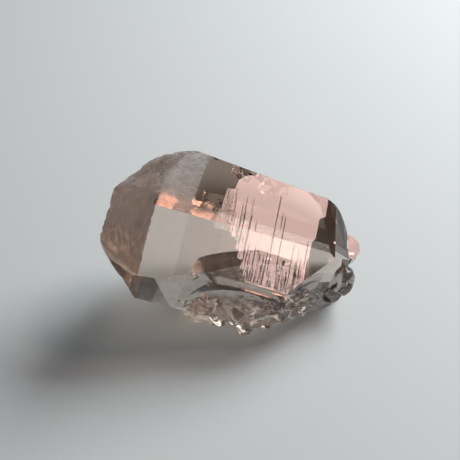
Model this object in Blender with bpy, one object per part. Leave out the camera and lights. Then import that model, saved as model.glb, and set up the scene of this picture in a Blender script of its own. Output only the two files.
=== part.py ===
"""Himalayan smoky quartz: one stout crystal of clear brown quartz, lying on its broken lower side.

The crystal is a distorted hexagonal prism with one very large flat face on top. Its left end is a rough
slanting break, its right end a steep termination with three small crystals grown in line with it, and its
front lower edge is broken to glassy lumps under smooth shell-shaped hollows. All of it is one solid.

The shape is built in the crystal's own frame: X along its length, Y across the large face, Z out of that
face. It is then turned to lie as it rests, cut flat where it touches the ground and centred on the origin.
"""

import math
import random

import bmesh
import bpy
from mathutils import Matrix, Vector
from mathutils.bvhtree import BVHTree

MM = 0.001

# How the crystal lies: its length dips to the right, and the large face leans to the front.
HEADING = math.radians(-4.6)
DIP = math.radians(17.9)
LEAN = math.radians(22.7)
FACE_HEIGHT = 25.0 * MM

# The prism: six faces 60 degrees apart, the large face and the one under it parallel.
THICKNESS = 21.0 * MM
BACK_EDGE = 16.2 * MM
BACK_FOOT = 7.7 * MM
FRONT_EDGE = 15.6 * MM
FRONT_FOOT = 10.7 * MM
BACK_TAPER = math.radians(3.5)
FRONT_TAPER = math.radians(8.0)
UNDER_TAPER = math.radians(1.3)

# The ends along the length.
LEFT_END = -27.8 * MM
RIGHT_END = 23.6 * MM
FAR_END = 31.3 * MM

# The growth plateau on the large face, and the two slopes that fall away very slightly beside it.
PLATEAU_LEFT = -2.8 * MM
PLATEAU_RISE = 0.25 * MM
LEFT_SLOPE = math.radians(1.6)
RIGHT_SLOPE = math.radians(3.0)
TEETH = 11
TOOTH_PITCH = 0.75 * MM

# The few deep growth grooves across the plateau, all at right angles to the length.
GROOVE_DEPTH = 0.13 * MM

# The break along the front: a wall under the plateau, then a second one to the right corner.
WALL_EDGE = 11.2 * MM
WALL_LEAN = 0.30
CORNER = 15.3 * MM
CORNER_TURN = math.radians(53.0)
CORNER_LEAN = 0.42

# The lumps: rows down the broken front, each a height in the slanting view from the front and a size.
LUMP_SLOPE = math.radians(40.0)
LUMP_ROWS = [(-15.7, 1.1), (-17.3, 1.6), (-19.2, 2.0), (-20.8, 2.1), (-21.9, 1.8)]
ROW_SCATTER = 0.68
LUMPS_LEFT = -11.0
LUMPS_RIGHT = 23.5
LUMP_RISE = 0.16
LOWEST_LUMP = -22.9
LOWEST_AT = 1.5
LOWEST_BEND = 0.017

MATERIAL_COLOUR = (0.42, 0.31, 0.25, 1.0)


def mm(x, y, z):
    """A place in the crystal's frame, given in millimetres."""
    return Vector((x, y, z)) * MM


def prism_normal(degrees, taper=0.0):
    """The outward direction of a prism face, at an angle about the length from the back."""
    angle = math.radians(degrees)
    across = math.cos(angle)
    return Vector((math.sin(taper) * abs(across), math.cos(taper) * across, math.sin(angle)))


def seeded(name):
    """The random numbers for one feature, the same on each run."""
    return random.Random(name)


def object_from(bm, name):
    """A new object that holds a finished bmesh."""
    mesh = bpy.data.meshes.new(name)
    bm.to_mesh(mesh)
    bm.free()
    made = bpy.data.objects.new(name, mesh)
    bpy.context.scene.collection.objects.link(made)
    return made


def slice_off(bm, normal, place):
    """Cuts away what lies outside a plane and closes the cut with one flat face."""
    geometry = bm.verts[:] + bm.edges[:] + bm.faces[:]
    cut = bmesh.ops.bisect_plane(bm, geom=geometry, plane_co=place, plane_no=normal, clear_outer=True)
    rim = [item for item in cut["geom_cut"] if isinstance(item, bmesh.types.BMEdge)]
    if rim:
        bmesh.ops.edgeloop_fill(bm, edges=rim)


def cut_to_planes(name, faces, size=0.09):
    """A convex solid: a block cut by planes, each an outward direction and a place on the plane."""
    bm = bmesh.new()
    bmesh.ops.create_cube(bm, size=size)
    for normal, place in faces:
        slice_off(bm, normal, place)
    bmesh.ops.recalc_face_normals(bm, faces=bm.faces)
    return object_from(bm, name)


def hull_of(name, places):
    """The convex solid around some places."""
    bm = bmesh.new()
    for place in places:
        bm.verts.new(place)
    made = bmesh.ops.convex_hull(bm, input=bm.verts)
    inside = {item for item in made["geom_interior"] if isinstance(item, bmesh.types.BMVert)}
    bmesh.ops.delete(bm, geom=list(inside), context="VERTS")
    bmesh.ops.recalc_face_normals(bm, faces=bm.faces)
    return object_from(bm, name)


def combine(base, tool, operation):
    """Joins a solid to the base, or cuts it away, and keeps only the base."""
    change = base.modifiers.new("Combine", "BOOLEAN")
    change.operation = operation
    change.solver = "EXACT"
    change.object = tool
    graph = bpy.context.evaluated_depsgraph_get()
    result = bpy.data.meshes.new_from_object(base.evaluated_get(graph))
    base.modifiers.remove(change)
    base.data = result
    bpy.data.objects.remove(tool)


def main_prism():
    """The body of the crystal, all its flat faces cut from one block."""
    faces = [
        (Vector((0, 0, 1)), Vector((0, 0, 0))),
        (Vector((math.sin(UNDER_TAPER), 0, -math.cos(UNDER_TAPER))), Vector((-8.0 * MM, 0, -THICKNESS))),
        (prism_normal(30, BACK_TAPER), Vector((3.2 * MM, BACK_EDGE, 0))),
        (prism_normal(-30), Vector((0, BACK_FOOT, -THICKNESS))),
        (prism_normal(210), Vector((0, -FRONT_FOOT, -THICKNESS))),
        (prism_normal(150, FRONT_TAPER), Vector((-15.3 * MM, -FRONT_EDGE, 0))),
    ]
    left_end = [
        (Vector((-0.33, -0.84, 0.44)), mm(-18.9, -15.8, 0)),
        (Vector((-0.66, -0.66, -0.36)), mm(-24.3, -14.4, 0)),
        (Vector((-0.90, -0.27, -0.33)), mm(-27.8, -8.8, 0)),
        (Vector((-0.88, 0.0, -0.48)), Vector((LEFT_END, 0, 0))),
        (Vector((-0.80, 0.52, -0.30)), mm(-27.6, 2.2, 0)),
        (Vector((-0.62, 0.76, -0.20)), mm(-21.6, 11.6, 0)),
        (Vector((-0.28, 0.93, 0.10)), mm(-13.0, 16.9, 0)),
    ]
    right_end = [
        (Vector((0.67, 0.09, 0.74)), Vector((RIGHT_END, 6.5 * MM, 0))),
        (Vector((0.95, 0.30, 0.04)), Vector((FAR_END, 0, -6.0 * MM))),
        (Vector((0.55, 0.80, -0.20)), mm(26.2, 12.8, -2.5)),
        (Vector((0.42, 0.84, 0.20)), mm(21.8, 14.9, 0)),
    ]
    return cut_to_planes("quartz_crystal", faces + left_end + right_end)


def break_the_front(stone):
    """Takes away the front of the prism: one flat cleft, the wall, and the wall at the right corner."""
    cleft = (Vector((-0.308, 0.730, -0.610)), mm(-12.3, -14.6, 0))
    wall = (Vector((0, 1, -WALL_LEAN)), Vector((0, -WALL_EDGE, 0)))
    combine(stone, cut_to_planes("front_break", [cleft, wall]), "DIFFERENCE")
    out = Vector((math.sin(CORNER_TURN), -math.cos(CORNER_TURN), CORNER_LEAN))
    combine(stone, cut_to_planes("corner_break", [(-out, Vector((CORNER, -WALL_EDGE, 0)))]), "DIFFERENCE")
    under = Vector((0.519, -0.748, -0.312))
    combine(stone, cut_to_planes("undercut", [(-under, mm(9.4, -15.8, -18.6))]), "DIFFERENCE")


def shell_hollow(stone, centre, radii, turn, ripple):
    """Cuts a smooth shell-shaped hollow, with the faint ripples of a glassy break."""
    bm = bmesh.new()
    bmesh.ops.create_icosphere(bm, subdivisions=4, radius=1.0)
    for point in bm.verts:
        spread = math.acos(max(-1.0, min(1.0, point.co.x)))
        point.co *= 1.0 + ripple * math.sin(spread * 16.0)
    shape = Matrix.Translation(centre) @ Matrix.Rotation(turn, 4, "Z") @ Matrix.Diagonal((*radii, 1.0))
    bm.transform(shape)
    combine(stone, object_from(bm, "hollow"), "DIFFERENCE")


def lump(rng, centre, size, points=15, stretch=None):
    """An irregular broken lump: the convex solid around places scattered on a stretched ball."""
    stretch = Vector(stretch or [rng.uniform(0.8, 1.3) for _ in range(3)]) * size
    places = []
    for _ in range(points):
        direction = Vector([rng.gauss(0, 1) for _ in range(3)]).normalized()
        places.append(centre + Vector([a * b for a, b in zip(direction, stretch)]))
    return hull_of("lump", places)


def ground_depth(x, y):
    """How far below the large face the ground lies, at a place in the crystal's frame."""
    up = turn_to_rest().to_3x3().transposed() @ Vector((0, 0, 1))
    return (FACE_HEIGHT + up.x * x + up.y * y) / up.z


def broken_base(stone):
    """The mass under the front that the crystal lies on."""
    rim = [(-6, -12.2), (-6.8, -6), (-5.4, -1.6), (-2.8, 0.3), (5, 2.4), (9.5, 5.0), (21, 4.4), (22, -5),
           (13, -11.5)]
    foot = [(0.5, -14.6), (-2.2, -9), (-0.5, -4.4), (6, -0.6), (10, 1.6), (15, 2.0), (21, 0), (16, -7.5),
            (7.5, -12.8)]
    places = [mm(x, y, -17.0) for x, y in rim]
    for x, y in foot:
        places.append(Vector((x * MM, y * MM, -ground_depth(x * MM, y * MM) - 0.6 * MM)))
    combine(stone, hull_of("base", places), "UNION")


def front_lumps(stone):
    """Broken lumps in rows over the front, set where lines from the front and above meet the stone."""
    rng = seeded("front lumps")
    rest = turn_to_rest()
    back_to_frame = rest.inverted()
    toward = Vector((0, math.cos(LUMP_SLOPE), -math.sin(LUMP_SLOPE)))
    upward = Vector((0, math.sin(LUMP_SLOPE), math.cos(LUMP_SLOPE)))
    middle = Vector((0, 0, FACE_HEIGHT))
    for row, size in LUMP_ROWS:
        bm = bmesh.new()
        bm.from_mesh(stone.data)
        bm.transform(rest)
        surface = BVHTree.FromBMesh(bm)
        bm.free()
        across = LUMPS_LEFT
        while across < LUMPS_RIGHT:
            height = row + rng.uniform(-ROW_SCATTER, ROW_SCATTER) + max(0.0, across - 12.0) * LUMP_RISE
            start = middle + Vector((across * MM, 0, 0)) + upward * height * MM - toward * 0.1
            hit = surface.ray_cast(start, toward)[0]
            radius = size * rng.uniform(0.75, 1.3)
            lowest = LOWEST_LUMP + LOWEST_BEND * (across - LOWEST_AT) ** 2 + 0.5 * radius
            if hit is not None and height > lowest:
                place = back_to_frame @ (hit + toward * radius * rng.uniform(0.35, 0.75) * MM)
                combine(stone, lump(rng, place, radius * MM), "UNION")
            across += size * rng.uniform(1.0, 1.5)


def underside_lumps(stone):
    """Lumps that roughen the lower side of the broken base."""
    rng = seeded("underside lumps")
    spots = [(-2, -10), (-1, -6), (2, -10.5), (4, -3.5), (7.5, -1), (12, 0.5), (17, 0), (21, -3), (24, -4)]
    for x, y in spots:
        depth = (ground_depth(x * MM, y * MM) + THICKNESS) / 2
        place = Vector((x * MM, y * MM, -depth))
        combine(stone, lump(rng, place, rng.uniform(2.0, 3.0) * MM), "UNION")


def seam_lumps(stone):
    """A cluster of small splinters where the flat cleft meets the wall."""
    rng = seeded("seam lumps")
    for x, y, z, size in [(-5.4, -12.2, -0.9, 0.9), (-4.6, -12.5, -2.4, 1.2), (-3.8, -13.0, -4.2, 1.4),
                          (-5.6, -14.0, -5.2, 1.4), (-2.6, -13.4, -6.2, 1.5), (-1.5, -12.6, -2.8, 0.8)]:
        combine(stone, lump(rng, mm(x, y, z), size * MM, 11), "UNION")


def small_crystal(stone, corners, top, thickness):
    """A small crystal grown in line with the large one: a flat face of a given outline, sloping sides."""
    middle = sum((Vector((x, y, 0)) for x, y in corners), Vector()) / len(corners)
    places = []
    for x, y in corners:
        flat = Vector((x, y, 0))
        places.append((flat + Vector((0, 0, top))) * MM)
        low = middle + (flat - middle) * 1.12
        places.append((low + Vector((0, 0, top - 0.35 * thickness))) * MM)
        under = middle + (flat - middle) * 0.55
        places.append((under + Vector((-1.5, 0, top - thickness))) * MM)
    combine(stone, hull_of("small_crystal", places), "UNION")


def right_end_growths(stone):
    """Three small crystals and two rounded lobes on the right end."""
    rng = seeded("right end")
    small_crystal(stone, [(26.4, 11.4), (29.6, 10.9), (31.5, 9.8), (32.1, 8.0), (31.5, 5.9), (30.6, 4.9),
                          (27.5, 6.0)], -6.0, 6.0)
    small_crystal(stone, [(25.2, 6.6), (27.9, 6.2), (28.3, 3.6), (27.4, 2.1), (25.0, 3.0)], -5.8, 4.0)
    small_crystal(stone, [(27.0, 14.0), (29.5, 13.0), (29.8, 9.0), (27.0, 8.0)], -10.5, 5.0)
    combine(stone, lump(rng, mm(29.4, -0.2, -8.0), 3.4 * MM, 70, (0.9, 1.15, 1.3)), "UNION")
    combine(stone, lump(rng, mm(28.4, -1.6, -11.8), 3.0 * MM, 40, (1.1, 1.0, 1.1)), "UNION")


def step_beside_plateau(stone, outline, slope, foot):
    """Lowers the large face beside the plateau, to a plane that falls away from it."""
    bm = bmesh.new()
    low = []
    high = []
    for x, y in outline:
        fall = PLATEAU_RISE + abs(x - foot) * math.tan(slope)
        low.append(bm.verts.new((x, y, -fall)))
        high.append(bm.verts.new((x, y, 2.0 * MM)))
    bm.faces.new(low)
    bm.faces.new(high)
    for index in range(len(outline)):
        after = (index + 1) % len(outline)
        bm.faces.new((low[index], low[after], high[after], high[index]))
    bmesh.ops.recalc_face_normals(bm, faces=bm.faces)
    combine(stone, object_from(bm, "step"), "DIFFERENCE")


def growth_plateau(stone):
    """The stepped edges of the plateau: a comb of teeth on its left, a few long steps on its right."""
    rng = seeded("plateau")
    far = 40.0 * MM
    back = [(3.2, 20.0), (3.2, 15.4), (0.8, 14.6), (-0.5, 13.0), (-0.9, 10.4), (-2.8, 10.0)]
    left = [(-far, -far), (-far, 20.0 * MM)] + [(x * MM, y * MM) for x, y in back]
    end = 3.5 * MM
    x = PLATEAU_LEFT
    for index in range(TEETH):
        tooth = end - index * 1.35 * MM + rng.uniform(-1.8, 1.8) * MM
        left.append((x, tooth))
        x += TOOTH_PITCH * rng.uniform(0.6, 1.4)
        left.append((x, tooth))
    left.append((x, -far))
    step_beside_plateau(stone, left, LEFT_SLOPE, x)
    steps = [(21.6, 20.0), (21.0, 14.2), (20.9, 10.4), (19.7, 9.6), (19.6, 4.2), (18.9, 3.4), (18.6, -12.0)]
    right = [(x * MM, y * MM) for x, y in steps] + [(far, -12.0 * MM), (far, 20.0 * MM)]
    step_beside_plateau(stone, right, RIGHT_SLOPE, 18.6 * MM)


def growth_grooves(stone):
    """The deepest grooves across the plateau: for each its place, its width and its two ends."""
    grooves = [(9.9, 0.30, -3.0, 12.2), (18.0, 0.22, -4.0, 3.0), (-1.6, 0.16, 3.4, 8.9),
               (-0.4, 0.14, 2.0, 9.0)]
    for x, width, start, end in grooves:
        section = [(x - width / 2, 0.05), (x + width / 2, 0.05), (x, -GROOVE_DEPTH / MM)]
        places = [mm(across, y, z) for y in (start, end) for across, z in section]
        combine(stone, hull_of("groove", places), "DIFFERENCE")


def smoky_quartz():
    """Clear brown glassy quartz."""
    finish = bpy.data.materials.new("smoky_quartz")
    finish.use_nodes = True
    shader = finish.node_tree.nodes["Principled BSDF"]
    shader.inputs["Base Color"].default_value = MATERIAL_COLOUR
    shader.inputs["Roughness"].default_value = 0.05
    shader.inputs["Metallic"].default_value = 0.0
    shader.inputs["IOR"].default_value = 1.544
    shader.inputs["Transmission Weight"].default_value = 1.0
    return finish


def turn_to_rest():
    """The turn from the crystal's own frame to how it lies on the ground."""
    heading = Matrix.Rotation(HEADING, 4, "Z")
    dip = Matrix.Rotation(DIP, 4, "Y")
    lean = Matrix.Rotation(LEAN, 4, "X")
    return Matrix.Translation((0, 0, FACE_HEIGHT)) @ heading @ dip @ lean


def drop_crumbs(bm):
    """Deletes specks that the cuts left beside the stone: all faces but the largest connected group."""
    groups = []
    waiting = set(bm.faces)
    while waiting:
        group = []
        to_visit = [waiting.pop()]
        while to_visit:
            face = to_visit.pop()
            group.append(face)
            for edge in face.edges:
                for neighbour in edge.link_faces:
                    if neighbour in waiting:
                        waiting.remove(neighbour)
                        to_visit.append(neighbour)
        groups.append(group)
    groups.sort(key=len)
    for crumb in groups[:-1]:
        bmesh.ops.delete(bm, geom=crumb, context="FACES")


def lay_on_the_ground(stone):
    """Turns the stone to how it lies, cuts its lowest lumps flat and centres it over the origin."""
    bm = bmesh.new()
    bm.from_mesh(stone.data)
    bm.transform(turn_to_rest())
    slice_off(bm, Vector((0, 0, -1)), Vector((0, 0, 0)))
    bmesh.ops.remove_doubles(bm, verts=bm.verts, dist=0.001 * MM)
    bmesh.ops.dissolve_degenerate(bm, edges=bm.edges, dist=0.0005 * MM)
    bmesh.ops.triangulate(bm, faces=bm.faces)
    drop_crumbs(bm)
    low = Vector([min(v.co[axis] for v in bm.verts) for axis in range(3)])
    high = Vector([max(v.co[axis] for v in bm.verts) for axis in range(3)])
    centre = (low + high) / 2
    bmesh.ops.translate(bm, verts=bm.verts, vec=(-centre.x, -centre.y, 0))
    bm.to_mesh(stone.data)
    bm.free()
    return centre


for old in list(bpy.data.objects):
    bpy.data.objects.remove(old)
quartz = main_prism()
break_the_front(quartz)
growth_plateau(quartz)
growth_grooves(quartz)
shell_hollow(quartz, mm(7.5, -17.1, -2.2), mm(13.0, 6.2, 6.8), 0.0, 0.006)
shell_hollow(quartz, mm(24.6, -9.6, -1.6), mm(9.0, 6.4, 5.6), CORNER_TURN, 0.006)
broken_base(quartz)
underside_lumps(quartz)
front_lumps(quartz)
seam_lumps(quartz)
right_end_growths(quartz)
centre_shift = lay_on_the_ground(quartz)
quartz.data.materials.clear()
quartz.data.materials.append(smoky_quartz())
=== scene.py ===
# %% [markdown]
# # A smoky quartz crystal, lying on its broken side
# The real thing is one clear brown crystal: a six-sided prism with a very large flat face on top, a rough
# broken left end, fine growth lines across the large face, and glassy lumps where its front broke away.
# What makes it look like quartz is what light does inside it. The floor shows through the two parallel
# faces, the slanting faces behind act as mirrors, and long ways through the stone turn light brown.
# So the stone is one closed solid, rendered as real brown glass. The pink shine, the pale window and the
# glints come from the light. Frost lies on the surface where the real one is rough. A grey-brown stain lies
# where it is dirty or darker inside, and it is also painted shade: it darkens faces through which the stone
# shows the shaded floor and the dim room, so that the dark zones come out darker.

import math

import bmesh
import bpy
from mathutils import Matrix, Vector, noise


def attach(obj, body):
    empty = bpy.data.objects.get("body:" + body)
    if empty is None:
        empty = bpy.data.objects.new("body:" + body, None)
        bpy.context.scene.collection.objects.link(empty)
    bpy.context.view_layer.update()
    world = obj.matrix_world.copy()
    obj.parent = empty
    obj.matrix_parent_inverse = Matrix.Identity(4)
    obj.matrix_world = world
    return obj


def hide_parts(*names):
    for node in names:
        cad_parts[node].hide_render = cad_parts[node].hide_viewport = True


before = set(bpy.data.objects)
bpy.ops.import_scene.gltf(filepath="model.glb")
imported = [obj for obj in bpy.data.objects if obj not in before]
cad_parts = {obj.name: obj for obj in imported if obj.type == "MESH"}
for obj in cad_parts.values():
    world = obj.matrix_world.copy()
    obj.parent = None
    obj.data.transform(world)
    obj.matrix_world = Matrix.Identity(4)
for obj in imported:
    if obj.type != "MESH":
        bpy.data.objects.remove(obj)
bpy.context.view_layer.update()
MM = 0.001
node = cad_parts["quartz_crystal"]

# %% [markdown]
# ## The crystal's own directions
# Quartz faces meet at fixed angles, so it is easiest to think in the crystal's own frame: X along its
# length, Y across the large face and Z out of it. The stone lies turned, so one matrix takes a place from
# that frame to the world. Everything that follows a crystal direction, such as growth lines, uses it.

# %% The crystal's frame
HEADING = math.radians(-4.6)
DIP = math.radians(17.9)
LEAN = math.radians(22.7)
FACE_MIDDLE = Vector((-1.30, -2.35, 25.0)) * MM

turn = Matrix.Rotation(HEADING, 4, "Z") @ Matrix.Rotation(DIP, 4, "Y") @ Matrix.Rotation(LEAN, 4, "X")
to_world = Matrix.Translation(FACE_MIDDLE) @ turn
to_crystal = to_world.inverted()
LENGTH_WAY = (turn @ Vector((1, 0, 0))).to_3d()
ACROSS_WAY = (turn @ Vector((0, 1, 0))).to_3d()
FACE_WAY = (turn @ Vector((0, 0, 1))).to_3d()
print("the large face looks towards", [round(value, 3) for value in FACE_WAY])

# %% [markdown]
# ## A short way to write node trees
# Node trees are easier to read as formulas. A small class holds one socket, and each operator adds the Math
# node that it stands for, so `1 - mask * 0.5` is two nodes. Every other node comes from one method, which
# sets the node's choices first and then its inputs.


# %% Sockets that do arithmetic
class Socket:
    """One output socket. Arithmetic on it adds Math nodes to its tree."""

    def __init__(self, sheet, socket):
        self.sheet = sheet
        self.socket = socket

    def math(self, operation, first, second, clamp=False):
        settings = {"operation": operation, "use_clamp": clamp}
        return self.sheet.node("ShaderNodeMath", settings, {0: first, 1: second})

    def clamped(self):
        """The same value, kept between 0 and 1."""
        return self.math("MULTIPLY", self, 1.0, clamp=True)

    def __add__(self, other):
        return self.math("ADD", self, other)

    def __sub__(self, other):
        return self.math("SUBTRACT", self, other)

    def __mul__(self, other):
        return self.math("MULTIPLY", self, other)

    def __truediv__(self, other):
        return self.math("DIVIDE", self, other)

    def __rsub__(self, other):
        return self.math("SUBTRACT", other, self)

    def __rtruediv__(self, other):
        return self.math("DIVIDE", other, self)

    def __gt__(self, other):
        return self.math("GREATER_THAN", self, other)

    def __lt__(self, other):
        return self.math("LESS_THAN", self, other)

    __radd__ = __add__
    __rmul__ = __mul__


# %% Node trees, one method for every node
class Sheet:
    """A node tree under construction."""

    def __init__(self, tree):
        self.tree = tree

    def node(self, kind, settings=None, inputs=None, output=0):
        made = self.tree.nodes.new(kind)
        for name, choice in (settings or {}).items():
            setattr(made, name, choice)
        for name, value in (inputs or {}).items():
            socket = self.find(made.inputs, name)
            if isinstance(value, Socket):
                self.tree.links.new(value.socket, socket)
            else:
                socket.default_value = value
        return Socket(self, self.find(made.outputs, output))

    @staticmethod
    def find(sockets, name):
        """A socket by number, or the one of that name that the node's settings make visible."""
        if isinstance(name, int):
            return sockets[name]
        return [socket for socket in sockets if socket.name == name and socket.enabled][0]

    def link(self, value, socket):
        self.tree.links.new(value.socket, socket)

    def noise(self, place, scale, detail, roughness=0.5):
        """Soft fractal noise round one half. The scale is the number of its swells in a metre."""
        inputs = {"Vector": place, "Scale": scale, "Detail": detail, "Roughness": roughness}
        return self.node("ShaderNodeTexNoise", {}, inputs)

    def vector(self, operation, first, second, output=0):
        """One step of vector maths."""
        return self.node("ShaderNodeVectorMath", {"operation": operation}, {0: first, 1: second}, output)

    def crystal_place(self, place):
        """How far a place lies along the crystal, across its large face and above that face."""
        from_middle = self.vector("SUBTRACT", place, FACE_MIDDLE)
        ways = (LENGTH_WAY, ACROSS_WAY, FACE_WAY)
        return [self.vector("DOT_PRODUCT", from_middle, way, "Value") for way in ways]


# %% [markdown]
# ## The floor and the light
# A clear stone has almost no colour of its own: it shows its surroundings. The floor is plain and pale, and
# the room round it is dim, so that the ways through the stone that end on the floor look bright and the
# ways that end in the room look dark brown. One large soft light stands behind on the right. Two small warm
# ones are placed by the law of mirrors. The larger one shows in the large face and gives its pink shine.
# The other is the size of a stamp and only brightens the side of one orange glint.


# %% Plain finishes for the surroundings
MATT_SPECULAR = 0.2


def plain_finish(name, colour, roughness):
    """An even, matt finish."""
    finish = bpy.data.materials.new(name)
    finish.use_nodes = True
    shader = finish.node_tree.nodes["Principled BSDF"]
    shader.inputs["Base Color"].default_value = (*colour, 1.0)
    shader.inputs["Roughness"].default_value = roughness
    shader.inputs["Specular IOR Level"].default_value = MATT_SPECULAR
    return finish


FLOOR_HALF = 1.5
FLOOR_DROP = 0.05 * MM
FLOOR_COLOUR = (0.60, 0.645, 0.66)
FLOOR_ROUGHNESS = 0.8
floor_mesh = bpy.data.meshes.new("floor")
corners = [(x * FLOOR_HALF, y * FLOOR_HALF, -FLOOR_DROP) for x, y in [(-1, -1), (1, -1), (1, 1), (-1, 1)]]
floor_mesh.from_pydata(corners, [], [(0, 1, 2, 3)])
floor_mesh.materials.append(plain_finish("pale_floor", FLOOR_COLOUR, FLOOR_ROUGHNESS))
floor = bpy.data.objects.new("floor", floor_mesh)
bpy.context.scene.collection.objects.link(floor)
print("floor", 2 * FLOOR_HALF, "m across")

# %% The camera, where the photograph was taken from
VIEW_DISTANCE = 220.0 * MM
VIEW_HEIGHT = math.radians(40.0)
VIEW_WIDTH = 101.8 * MM
SENSOR = 36.0
NEAREST = 10.0 * MM
towards_camera = Vector((0, -math.cos(VIEW_HEIGHT), math.sin(VIEW_HEIGHT)))
camera_data = bpy.data.cameras.new("camera")
camera_data.sensor_width = SENSOR
camera_data.lens = SENSOR * VIEW_DISTANCE / VIEW_WIDTH
camera_data.clip_start = NEAREST
camera = bpy.data.objects.new("camera", camera_data)
camera.location = FACE_MIDDLE + towards_camera * VIEW_DISTANCE
camera.rotation_euler = (-towards_camera).to_track_quat("-Z", "Y").to_euler()
bpy.context.scene.collection.objects.link(camera)
bpy.context.scene.camera = camera
print("lens in mm:", round(camera_data.lens, 1))


# %% Soft lights
def soft_light(name, centre, towards_light, side, width, height, colour, radiance):
    """A rectangular light with an even radiance, its width along a given side direction."""
    out = towards_light.normalized()
    across = (side - side.dot(out) * out).normalized()
    light = bpy.data.lights.new(name, "AREA")
    light.shape = "RECTANGLE"
    light.size = width
    light.size_y = height
    light.color = colour
    light.energy = radiance * math.pi * width * height
    lamp = bpy.data.objects.new(name, light)
    axes = Matrix((across, out.cross(across), out)).transposed().to_4x4()
    lamp.matrix_world = Matrix.Translation(centre) @ axes
    bpy.context.scene.collection.objects.link(lamp)
    print(name, "is", round(width / MM), "by", round(height / MM), "mm")


BOX_WAY = Vector((0.62, 0.50, 0.62)).normalized()
BOX_DISTANCE = 0.5
BOX_SIZE = 0.34
BOX_COLOUR = (1.0, 0.99, 0.97)
BOX_RADIANCE = 9.2
soft_light("soft_box", FACE_MIDDLE + BOX_WAY * BOX_DISTANCE, BOX_WAY, Vector((1, 0, 0)), BOX_SIZE, BOX_SIZE,
           BOX_COLOUR, BOX_RADIANCE)

# %% Panes placed by the law of mirrors
PANE_DISTANCE = 1.0


def mirror_ray(x, y):
    """From a place on the large face, where the camera's ray goes when the face reflects it."""
    place = to_world @ Vector((x, y, 0))
    ray = (place - camera.location).normalized()
    return place, ray - 2 * ray.dot(FACE_WAY) * FACE_WAY


def mirrored_pane(name, left, right, front, back, colour, radiance):
    """A light that the large face would reflect over one rectangle of itself."""
    middle_x = (left + right) / 2
    middle_y = (front + back) / 2
    place, way = mirror_ray(middle_x, middle_y)
    centre = place + way * PANE_DISTANCE
    side = (LENGTH_WAY - LENGTH_WAY.dot(way) * way).normalized()
    up = way.cross(side)

    def on_pane(x, y):
        start, ray = mirror_ray(x, y)
        return start + ray * ((centre - start).dot(way) / ray.dot(way)) - centre

    width = abs((on_pane(right, middle_y) - on_pane(left, middle_y)).dot(side))
    height = abs((on_pane(middle_x, back) - on_pane(middle_x, front)).dot(up))
    soft_light(name, centre, way, side, width, height, colour, radiance)


mirrored_pane("warm_pane", left=-3.0 * MM, right=33.0 * MM, front=-13.0 * MM, back=18.0 * MM,
              colour=(1.0, 0.67, 0.61), radiance=11.6)
mirrored_pane("glint_pane", left=-12.5 * MM, right=-7.0 * MM, front=-1.0 * MM, back=4.0 * MM,
              colour=(1.0, 0.78, 0.66), radiance=3.5)

# %% The dim room
ROOM_COLOUR = (0.86, 0.95, 1.0, 1.0)
ROOM_STRENGTH = 0.13
world = bpy.data.worlds.new("dim_room")
world.use_nodes = True
world.node_tree.nodes["Background"].inputs["Color"].default_value = ROOM_COLOUR
world.node_tree.nodes["Background"].inputs["Strength"].default_value = ROOM_STRENGTH
bpy.context.scene.world = world
bpy.context.scene.view_settings.view_transform = "Standard"
print("the room's strength beside the soft box:", round(ROOM_STRENGTH / BOX_RADIANCE, 3))

# %% [markdown]
# ## Smoky quartz as a finish
# The finish is a clear glassy one: full transmission, quartz's own index of refraction, and an absorption
# that turns long ways through the stone brown. Each face of the mesh carries two numbers. `frost` says how
# rough its kind of surface is: a growth face 0, a glassy break a little, the etched left end a lot. The
# second number darkens it with a grey-brown. Partly it stands for the smoky zones and the dirt in cracks
# that one even absorption can't give, and partly it is painted shade, for the shaded floor and the dim room
# that the stone shows through some faces.
#
# Noise makes the frost patchy, and the darkening too where there is frost, and a fine bump gives the frost
# its grain. Two spots on the frosted edge below the back are polished, so that they mirror the warm light as
# orange glints. The top is worn near the left end, towards the back.


# %% The finish of the stone
QUARTZ_IOR = 1.544
ABSORB_COLOUR = (0.70, 0.48, 0.32, 1.0)
ABSORB_DENSITY = 30.0
CLEAR = (1.0, 1.0, 1.0, 1.0)
# The grey-brown of the stain, which is partly dirt and smoky colour and partly painted shade.
STAIN_AND_SHADE_COLOUR = (0.055, 0.035, 0.023, 1.0)
MOTTLE_NOISE = (160.0, 9.0, 0.75)
CLOUD_NOISE = (330.0, 6.0, 0.7)
GRAIN_NOISE = (700.0, 8.0, 0.65)
GRAIN_HEIGHT = 0.22 * MM
SPOT_FADE = 0.6 * MM
POLISHED_SPOTS = [(Vector((-14.5, 8.5, -19.5)) * MM, 3.0 * MM, 0.98),
                  (Vector((-5.0, 8.5, -19.5)) * MM, 3.0 * MM, 0.62)]
WEAR = 0.4
WEAR_ENDS = -7.0 * MM
WEAR_END_FADE = 5.0 * MM
WEAR_FRONT = 3.0 * MM
WEAR_FRONT_FADE = 1.5 * MM
WEAR_LOWEST = -3.0 * MM


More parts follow.
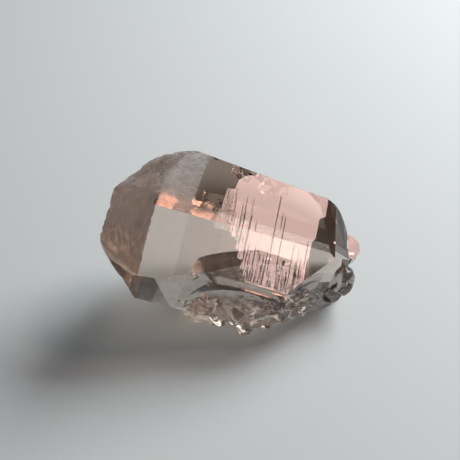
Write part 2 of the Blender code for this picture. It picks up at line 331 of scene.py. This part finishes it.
def smoky_quartz():
    """Clear brown quartz, frosted, stained and darkened with painted shade where its surface says so."""
    finish = bpy.data.materials.new("smoky_quartz")
    finish.use_nodes = True
    sheet = Sheet(finish.node_tree)
    shader = finish.node_tree.nodes["Principled BSDF"]
    output = finish.node_tree.nodes["Material Output"]
    shader.inputs["IOR"].default_value = QUARTZ_IOR
    shader.inputs["Transmission Weight"].default_value = 1.0
    frost = sheet.node("ShaderNodeAttribute", {"attribute_name": "frost"}, output="Fac")
    stain_and_shade = sheet.node("ShaderNodeAttribute", {"attribute_name": "stain_and_shade"}, output="Fac")

    place = sheet.node("ShaderNodeTexCoord", output="Object")
    cloud = sheet.noise(place, *CLOUD_NOISE)
    grain = sheet.noise(place, *GRAIN_NOISE)
    patches = (cloud * 3.2 - 1.1).clamped()
    mottles = (sheet.noise(place, *MOTTLE_NOISE) * 2.0 + cloud * 2.2 - 1.6).clamped()
    specks = (grain * 3.6 - 1.3).clamped()

    along, across, above = sheet.crystal_place(place)
    near_end = ((WEAR_ENDS - along) / WEAR_END_FADE).clamped()
    near_back = ((across - WEAR_FRONT) / WEAR_FRONT_FADE).clamped()
    wear = near_end * near_back * (above > WEAR_LOWEST) * mottles * WEAR
    polish = 0.0
    for centre, radius, shine in POLISHED_SPOTS:
        away = sheet.vector("DISTANCE", place, to_world @ centre, "Value")
        polish = ((radius * (cloud * 1.8 + 0.1) - away) / SPOT_FADE).clamped() * shine + polish

    roughness = frost * (patches * 0.5 + 0.7) * (1.0 - polish) + wear
    bump = sheet.node("ShaderNodeBump", {}, {
        "Height": grain * (frost + wear), "Strength": 1.0, "Distance": GRAIN_HEIGHT}, "Normal")
    unevenness = (mottles * 0.6 + specks * 0.8 - 0.7) * (frost * 2.5).clamped()
    # The stain number, partly dirt and partly painted shade, mixes the colour towards the grey-brown,
    # unevenly where there is frost.
    colour = sheet.node("ShaderNodeMix", {"data_type": "RGBA"}, {
        "Factor": stain_and_shade * (unevenness + 0.95), "A": CLEAR, "B": STAIN_AND_SHADE_COLOUR}, "Result")
    absorb = sheet.node("ShaderNodeVolumeAbsorption", {}, {"Color": ABSORB_COLOUR, "Density": ABSORB_DENSITY})
    sheet.link(colour, shader.inputs["Base Color"])
    sheet.link(roughness, shader.inputs["Roughness"])
    sheet.link(bump, shader.inputs["Normal"])
    sheet.link(absorb, output.inputs["Volume"])
    return finish


quartz = smoky_quartz()
print("absorption for each metre:", [round(ABSORB_DENSITY * (1 - value), 1) for value in ABSORB_COLOUR[:3]])

# %% [markdown]
# ## The stone's mesh
# The CAD solid already has every flat face, ledge and lump. Its mesh is loose triangles, so a copy is
# welded, and triangles that lie in one plane are joined again into the crystal's real faces. The work is
# done in the crystal's frame, where a growth line is simply a step in X.

# %% A welded copy of the stone
WELD = 0.001 * MM
SAME_PLANE = math.radians(0.3)
ON_THE_CUT = 0.0001 * MM


def welded_copy(source):
    """The stone's mesh in the crystal's frame, with its doubles merged and its flat faces whole."""
    bm = bmesh.new()
    bm.from_mesh(source.data)
    bm.transform(to_crystal)
    bmesh.ops.remove_doubles(bm, verts=bm.verts, dist=WELD)
    bmesh.ops.dissolve_limit(bm, angle_limit=SAME_PLANE, verts=bm.verts, edges=bm.edges)
    bm.normal_update()
    return bm


def cut_faces(bm, faces, normal, place):
    """Cuts some faces along the plane through a place, so that a line runs across them."""
    edges = dict.fromkeys(edge for face in faces for edge in face.edges)
    points = dict.fromkeys(point for face in faces for point in face.verts)
    geometry = list(faces) + list(edges) + list(points)
    bmesh.ops.bisect_plane(bm, geom=geometry, plane_co=place, plane_no=normal, dist=ON_THE_CUT)


shape = welded_copy(node)
largest = max(face.calc_area() for face in shape.faces) / MM ** 2
print("whole faces:", len(shape.faces), "largest in mm2:", round(largest))

# %% [markdown]
# ## Kinds of surface
# Which kind of surface a face belongs to follows from where it points and where it is. It is worked out
# once, while the faces are still whole, and stored on the mesh, because later steps divide and bend them.
# Some faces change their finish part of the way, so they are cut there first.

# %% Where one kind of surface ends and the next begins
KINDS = ["other", "plateau", "large_face", "bottom", "bottom_right", "back_foot", "back_foot_frosted",
         "back_foot_edge", "front_foot", "front_side", "front_side_left", "left_break", "base", "hollow",
         "lumps", "lobes"]
ALONG = Vector((1, 0, 0))
ACROSS = Vector((0, 1, 0))
OUT = Vector((0, 0, 1))
GROUND_WAY = turn.to_3x3().transposed() @ Vector((0, 0, -1))
LEVEL = 0.9999
NEARLY_LEVEL = 0.998
PARALLEL = 0.999
SLANT = 0.84
BREAK_LEAN = 0.25
HALF_DOWN = 0.45
NO_SKEW = 0.01
SIDE_SKEW = 0.15
PLATEAU_LOWEST = -0.1 * MM
TOP_LOWEST = -3.0 * MM
BOTTOM = -20.5 * MM
FOOT_EDGE = -18.0 * MM
FROST_ENDS = -8.1 * MM
# Left of this the front side is darkened most, with painted shade.
SIDE_SHADE_ENDS = -12.2 * MM
BREAK_STARTS = -12.0 * MM
LOBES_START = 24.0 * MM
LOBES_BACK = 3.0 * MM
LUMPS_FRONT = -9.0 * MM
LOBE_AREA = 5.0 * MM ** 2
LUMP_AREA = 12.0 * MM ** 2
HOLLOWS = [((7.5, -17.1, -2.2), (13.0, 6.2, 6.8), 0.0), ((24.6, -9.6, -1.6), (9.0, 6.4, 5.6), 53.0)]
HOLLOW_MARGIN = 0.03
print("kinds of surface:", len(KINDS))


# %% Tell the kinds of surface apart
def in_hollow(place):
    """Whether a place is on one of the two shell-shaped hollows of the front."""
    for centre, radii, degrees in HOLLOWS:
        local = Matrix.Rotation(-math.radians(degrees), 3, "Z") @ (place / MM - Vector(centre))
        if abs(Vector([a / b for a, b in zip(local, radii)]).length - 1.0) < HOLLOW_MARGIN:
            return True
    return False


def on_prism(normal, side, up, skew):
    """Whether a face is one of the prism's slanting faces, 60 degrees from the large one."""
    return normal.y * side > SLANT and normal.z * up > HALF_DOWN and abs(normal.x) < skew


def kind_of(face):
    """The kind of surface that a whole face of the stone belongs to."""
    normal = face.normal
    centre = face.calc_center_median()
    if normal.z > LEVEL and centre.z > PLATEAU_LOWEST:
        return "plateau"
    if normal.z > NEARLY_LEVEL and centre.z > TOP_LOWEST:
        return "large_face"
    if normal.z < -PARALLEL and centre.z < BOTTOM:
        return "bottom" if centre.x < FROST_ENDS else "bottom_right"
    if normal.dot(GROUND_WAY) > PARALLEL and centre.z < BOTTOM:
        return "base"
    if on_prism(normal, 1, -1, NO_SKEW):
        if centre.z < FOOT_EDGE:
            return "back_foot_edge"
        return "back_foot_frosted" if centre.x < FROST_ENDS else "back_foot"
    if normal.x < -BREAK_LEAN and centre.x < BREAK_STARTS:
        return "left_break"
    if in_hollow(centre):
        return "hollow"
    if on_prism(normal, -1, -1, NO_SKEW):
        return "front_foot"
    if on_prism(normal, -1, 1, SIDE_SKEW):
        return "front_side_left" if centre.x < SIDE_SHADE_ENDS else "front_side"
    if centre.x > LOBES_START and centre.y < LOBES_BACK and face.calc_area() < LOBE_AREA:
        return "lobes"
    if centre.y < LUMPS_FRONT and centre.z < TOP_LOWEST and face.calc_area() < LUMP_AREA:
        return "lumps"
    return "other"


# %% Cut the faces that change and store every kind
def cut_kinds(bm, kinds, normal, distance):
    """Cuts the whole faces of some kinds along one plane, a distance from the crystal's middle."""
    cut_faces(bm, [face for face in bm.faces if kind_of(face) in kinds], normal, normal * distance)


def store_kinds(bm):
    """Writes each face's kind on the mesh."""
    layer = bm.faces.layers.int.new("kind")
    for face in bm.faces:
        face[layer] = KINDS.index(kind_of(face))


def faces_of(bm, kind):
    """All faces of one kind."""
    layer = bm.faces.layers.int["kind"]
    return [face for face in bm.faces if face[layer] == KINDS.index(kind)]


cut_kinds(shape, ("back_foot", "back_foot_frosted", "bottom", "bottom_right"), ALONG, FROST_ENDS)
cut_kinds(shape, ("front_side", "front_side_left"), ALONG, SIDE_SHADE_ENDS)
cut_kinds(shape, ("back_foot", "back_foot_frosted"), OUT, FOOT_EDGE)
shape.normal_update()
store_kinds(shape)
print({kind: len(faces_of(shape, kind)) for kind in KINDS})

# %% [markdown]
# ## Growth lines
# A quartz prism face grows in fine steps at right angles to the length. The plateau is cut into narrow
# strips, and a Geometry Nodes tree further on sinks some of the edges between them. A sunk edge tilts the
# surface beside it by a few degrees, which is enough to throw the reflection of the warm pane aside: that
# is why the lines look dark on pink, and why they are real steps here and not a drawn pattern.

# %% Cut the plateau into strips
STRIP = 0.11 * MM
STRIP_LENGTH = 1.2 * MM
PLATEAU_START = -4.0 * MM
PLATEAU_END = 22.0 * MM
PLATEAU_FRONT = -13.0 * MM
PLATEAU_BACK = 20.0 * MM


def cut_into_strips(bm, kind, normal, start, end, width):
    """Cuts the faces of one kind along parallel planes, each a whole number of widths from the middle."""
    for index in range(math.ceil(start / width), math.floor(end / width) + 1):
        cut_faces(bm, faces_of(bm, kind), normal, normal * width * index)


cut_into_strips(shape, "plateau", ALONG, PLATEAU_START, PLATEAU_END, STRIP)
cut_into_strips(shape, "plateau", ACROSS, PLATEAU_FRONT, PLATEAU_BACK, STRIP_LENGTH)
print("plateau pieces:", len(faces_of(shape, "plateau")))

# %% [markdown]
# ## The rough left end and the broken front
# The left end broke long ago and has been etched since: its rim is chipped, its corners are worn round and
# its surface is uneven. The lumps of the front are a glassy break with rounded, shell-like forms and sharp
# valleys between them. Both are divided into small triangles and relaxed, which rounds their corners, and
# so are the lobes on the right. Points in a valley stay where they are, so the lumps keep apart.

# %% Divide and round the broken faces
MOST_DIVISIONS = 8
VALLEY = math.radians(32)


def divide(bm, kind, longest):
    """Divides the faces of one kind until no edge is longer than a given length."""
    for _ in range(MOST_DIVISIONS):
        bmesh.ops.triangulate(bm, faces=faces_of(bm, kind))
        edges = dict.fromkeys(edge for face in faces_of(bm, kind) for edge in face.edges
                              if edge.calc_length() > longest)
        if not edges:
            break
        bmesh.ops.subdivide_edges(bm, edges=list(edges), cuts=1)
    bmesh.ops.triangulate(bm, faces=faces_of(bm, kind))


def inner_points(bm, kind):
    """The points that only faces of one kind meet at."""
    layer = bm.faces.layers.int["kind"]
    number = KINDS.index(kind)
    return [point for point in bm.verts if all(face[layer] == number for face in point.link_faces)]


def round_off(bm, kind, rounds):
    """Moves each point of a kind of surface towards its neighbours, but keeps the valleys between lumps."""
    valleys = [edge for edge in bm.edges if not edge.is_convex and edge.calc_face_angle(0.0) > VALLEY]
    kept = {point for edge in valleys for point in edge.verts}
    points = [point for point in inner_points(bm, kind) if point not in kept]
    for _ in range(rounds):
        bmesh.ops.smooth_vert(bm, verts=points, factor=0.5, use_axis_x=True, use_axis_y=True, use_axis_z=True)


# %% Chip the rim between the left end and the large face
CORNER_ROUNDS = 8
CHIP_DEPTH = 0.5 * MM
CHIP_NOISES = (900.0, 260.0)


def chip_rim(bm, kind, neighbour):
    """Rounds the line where two kinds of surface meet and chips it inwards, within the neighbour's plane."""
    layer = bm.faces.layers.int["kind"]
    pair = {KINDS.index(kind), KINDS.index(neighbour)}
    beside = {}
    for edge in bm.edges:
        if {face[layer] for face in edge.link_faces} == pair:
            first, second = edge.verts
            beside.setdefault(first, []).append(second)
            beside.setdefault(second, []).append(first)
    inner = [point for point, others in beside.items() if len(others) == 2]
    for _ in range(CORNER_ROUNDS):
        goals = {point: point.co / 2 + (beside[point][0].co + beside[point][1].co) / 4 for point in inner}
        for point, goal in goals.items():
            point.co = goal
    for point in inner:
        flat = [face for face in point.link_faces if face[layer] == KINDS.index(neighbour)][0].normal
        inwards = Vector((-point.co.x, -point.co.y, 0)).normalized()
        inwards -= flat * inwards.dot(flat)
        chip = sum(max(0.0, noise.noise(point.co * fineness)) for fineness in CHIP_NOISES)
        point.co += inwards * CHIP_DEPTH * chip
    print(kind, "rim:", len(inner), "points")


ROUNDED = [("left_break", 0.6 * MM, 12), ("lumps", 0.45 * MM, 10), ("lobes", 0.4 * MM, 4)]
for kind, grain, rounds in ROUNDED:
    divide(shape, kind, grain)
    if kind == "left_break":
        chip_rim(shape, kind, "large_face")
    round_off(shape, kind, rounds)
    print(kind, "pieces:", len(faces_of(shape, kind)))

# %% [markdown]
# ## Numbers on the mesh
# The finish and the tree don't know kinds of surface. They read plain numbers on the mesh: frost and a
# stain that is partly painted shade on the faces, and on the points how far the tree may sink growth lines
# and roughen the break. The broken parts are shaded smooth, with a sharp edge wherever two kinds meet or the
# surface turns by a crease.

# %% Numbers on the mesh for the finish and the tree
FROST = {"left_break": 0.5, "back_foot_frosted": 0.42, "back_foot_edge": 0.4, "bottom": 0.08,
         "bottom_right": 0.08, "lumps": 0.1, "lobes": 0.14, "hollow": 0.1, "base": 0.5}
# Each number darkens a kind of surface. It is partly dirt and smoky colour, and partly painted shade: the
# darkest, on the base, the hollows, the front foot and the left part of the front side, stand for the shaded
# floor and the dim room that the stone shows through them.
STAIN_AND_SHADE = {"left_break": 0.5, "back_foot_frosted": 0.3, "back_foot_edge": 0.2, "bottom_right": 0.25,
         "lumps": 0.4, "lobes": 0.55, "hollow": 0.72, "base": 0.8, "front_foot": 0.64, "front_side": 0.3,
         "front_side_left": 0.85}
ROUGHENED = {"left_break": 1.0, "lumps": 0.12}
SMOOTH_KINDS = ("hollow", "lumps", "lobes", "left_break")
FRONT_DARKENING = 0.75
FRONT_DARKENING_REACH = 8.0 * MM
CREASE = math.radians(40)


def stain_and_shade_of(face, kind):
    """How much a face is darkened, by stain and by painted shade. The left end gets darker towards the front.
    """
    stain_and_shade = STAIN_AND_SHADE.get(kind, 0.0)
    if kind == "left_break":
        stain_and_shade += FRONT_DARKENING * min(1.0, max(0.0, -face.calc_center_median().y / FRONT_DARKENING_REACH))
    return stain_and_shade


def write_marks(bm):
    """Stores frost and the darkening by stain and painted shade on the faces, and which points the tree may
    move, and how much.
    """
    kinds = bm.faces.layers.int["kind"]
    frost = bm.faces.layers.float.new("frost")
    stain_and_shade = bm.faces.layers.float.new("stain_and_shade")
    growth = bm.verts.layers.float.new("growth")
    rough = bm.verts.layers.float.new("rough")
    for face in bm.faces:
        kind = KINDS[face[kinds]]
        face[frost] = FROST.get(kind, 0.0)
        face[stain_and_shade] = stain_and_shade_of(face, kind)
        face.smooth = kind in SMOOTH_KINDS
    for point in inner_points(bm, "plateau"):
        point[growth] = 1.0
    for kind, amount in ROUGHENED.items():
        for point in inner_points(bm, kind):
            point[rough] = amount
    for edge in bm.edges:
        one_kind = len({face[kinds] for face in edge.link_faces}) == 1
        edge.smooth = one_kind and edge.calc_face_angle(0.0) < CREASE


write_marks(shape)
shape.transform(to_world)
stone_mesh = bpy.data.meshes.new("smoky_quartz_crystal")
shape.to_mesh(stone_mesh)
shape.free()
stone_mesh.materials.append(quartz)
stone = bpy.data.objects.new("smoky_quartz_crystal", stone_mesh)
bpy.context.scene.collection.objects.link(stone)
print("stone:", len(stone_mesh.vertices), "points,", len(stone_mesh.polygons), "faces")

# %% [markdown]
# ## One tree for the growth lines and the rough break
# Each edge between two strips has a number, and white noise turns that number into chances that never
# change: whether the edge is a line, where it starts and ends, and how deep it is. The real face has three
# families of lines, so the tree has them too: many that rise from the broken front, a comb on the left, and
# a few lone ones. One long line, which has its own place, crosses most of the face. The same tree moves
# the points of the left break in and out, by noise with some shallow pits in it, and the lumps a little.

# %% The tree
FAR_FRONT = -100.0 * MM
SHORTEST_FRONT = 5.0 * MM
COMB_RIGHT = 4.0 * MM
LONG_LINE = 10.05 * MM
LONG_START = -9.0 * MM
LONG_END = 10.5 * MM
COMB_STARTS = (-6.0 * MM, -2.0 * MM)
COMB_ENDS = (0.0 * MM, 10.0 * MM)
LONE_STARTS = (-12.0 * MM, 8.0 * MM)
LONE_LENGTHS = (0.0 * MM, 7.0 * MM)
LINE_STRENGTHS = (0.3, 1.0)
LONE_STRENGTH = 0.7
FAINT_STRENGTH = 0.04
PIT_SHARE = 0.35
SWELL_SHARE = 1.6
SWELLS_IN_A_PIT = 0.6
SWELL_DETAIL = 5.0


def relief_tree():
    """A tree that moves marked points: growth lines on the plateau, an uneven surface on the broken end."""
    tree = bpy.data.node_groups.new("surface_relief", "GeometryNodeTree")
    tree.interface.new_socket("Geometry", in_out="INPUT", socket_type="NodeSocketGeometry")
    tree.interface.new_socket("Finish", in_out="INPUT", socket_type="NodeSocketMaterial")
    for name in RELIEF_SIZES:
        tree.interface.new_socket(name, in_out="INPUT", socket_type="NodeSocketFloat")
    tree.interface.new_socket("Geometry", in_out="OUTPUT", socket_type="NodeSocketGeometry")
    sheet = Sheet(tree)
    given = tree.nodes.new("NodeGroupInput")

    def named(name):
        return Socket(sheet, given.outputs[name])

    def mark(name):
        return sheet.node("GeometryNodeInputNamedAttribute", {"data_type": "FLOAT"}, {"Name": name})

    def moved(geometry, way, amount):
        offset = sheet.node("ShaderNodeVectorMath", {"operation": "SCALE"}, {0: way, "Scale": amount})
        return sheet.node("GeometryNodeSetPosition", {}, {"Geometry": geometry, "Offset": offset})

    place = sheet.node("GeometryNodeInputPosition")
    along, across, _ = sheet.crystal_place(place)
    nearest = sheet.node("ShaderNodeMath", {"operation": "ROUND"}, {0: along / named("Line Width")})
    edge = nearest + named("Seed")

    def chance(number):
        """A fixed random value from 0 to 1 for each edge, another one for each number."""
        inputs = {"W": edge + (number + 0.25)}
        return sheet.node("ShaderNodeTexWhiteNoise", {"noise_dimensions": "1D"}, inputs)

    def drawn(number, lowest, highest):
        """A fixed random value between two others for each edge."""
        return chance(number) * (highest - lowest) + lowest

    def between(low, high):
        """1 from a low place to a high one across the face, tapering off inside both."""
        taper = named("Line Taper")
        return ((across - low) / taper).clamped() * ((high - across) / taper).clamped()

    front_length = chance(200) * chance(300) * chance(350) * named("Front Reach") + SHORTEST_FRONT
    front = between(FAR_FRONT, named("Front Edge") + front_length) * (chance(100) < named("Front Share"))
    comb = between(drawn(500, *COMB_STARTS), drawn(600, *COMB_ENDS))
    comb = comb * (along < COMB_RIGHT) * (chance(700) < named("Comb Share"))
    lone_start = drawn(800, *LONE_STARTS)
    lone = between(lone_start, lone_start + drawn(900, *LONE_LENGTHS))
    lone = lone * (chance(1000) < named("Lone Share")) * LONE_STRENGTH
    beside_long = (along < LONG_LINE + STRIP / 2) * (along > LONG_LINE - STRIP / 2)
    long = between(LONG_START, LONG_END) * beside_long
    strength = drawn(0, *LINE_STRENGTHS)
    sink = (strength * (front + comb + lone) + long + chance(1100) * FAINT_STRENGTH) * named("Line Height")
    lined = moved(named("Geometry"), FACE_WAY, 0.0 - sink * mark("growth"))

    pits = sheet.node("ShaderNodeTexVoronoi", {}, {"Vector": place, "Scale": 1 / named("Pit Width")})
    swells = sheet.noise(place, SWELLS_IN_A_PIT / named("Pit Width"), SWELL_DETAIL)
    unevenness = (pits - 0.5) * PIT_SHARE + (swells - 0.5) * SWELL_SHARE
    normal = sheet.node("GeometryNodeInputNormal")
    roughened = moved(lined, normal, unevenness * named("Pit Depth") * mark("rough"))
    whole = sheet.node("GeometryNodeRealizeInstances", {}, {"Geometry": roughened})
    finished = sheet.node("GeometryNodeSetMaterial", {}, {"Geometry": whole, "Material": named("Finish")})
    out = tree.nodes.new("NodeGroupOutput")
    sheet.link(finished, out.inputs["Geometry"])
    return tree


# %% Apply the tree
RELIEF_SIZES = {
    "Line Height": 0.016 * MM, "Line Width": STRIP, "Line Taper": STRIP_LENGTH, "Front Edge": PLATEAU_FRONT,
    "Front Reach": 26.0 * MM, "Front Share": 0.55, "Comb Share": 0.5, "Lone Share": 0.12,
    "Pit Depth": 0.75 * MM, "Pit Width": 3.2 * MM, "Seed": 3.0}


def apply_tree(target, tree, values):
    """Runs a tree on an object with the given inputs, and keeps the result as a plain mesh."""
    change = target.modifiers.new("Relief", "NODES")
    change.node_group = tree
    for item in tree.interface.items_tree:
        if item.in_out == "INPUT" and item.name in values:
            change[item.identifier] = values[item.name]
    graph = bpy.context.evaluated_depsgraph_get()
    result = bpy.data.meshes.new_from_object(target.evaluated_get(graph))
    target.modifiers.remove(change)
    target.data = result


apply_tree(stone, relief_tree(), {"Finish": quartz, **RELIEF_SIZES})
print("relief applied:", len(stone.data.polygons), "faces")

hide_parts("quartz_crystal")
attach(stone, "root")
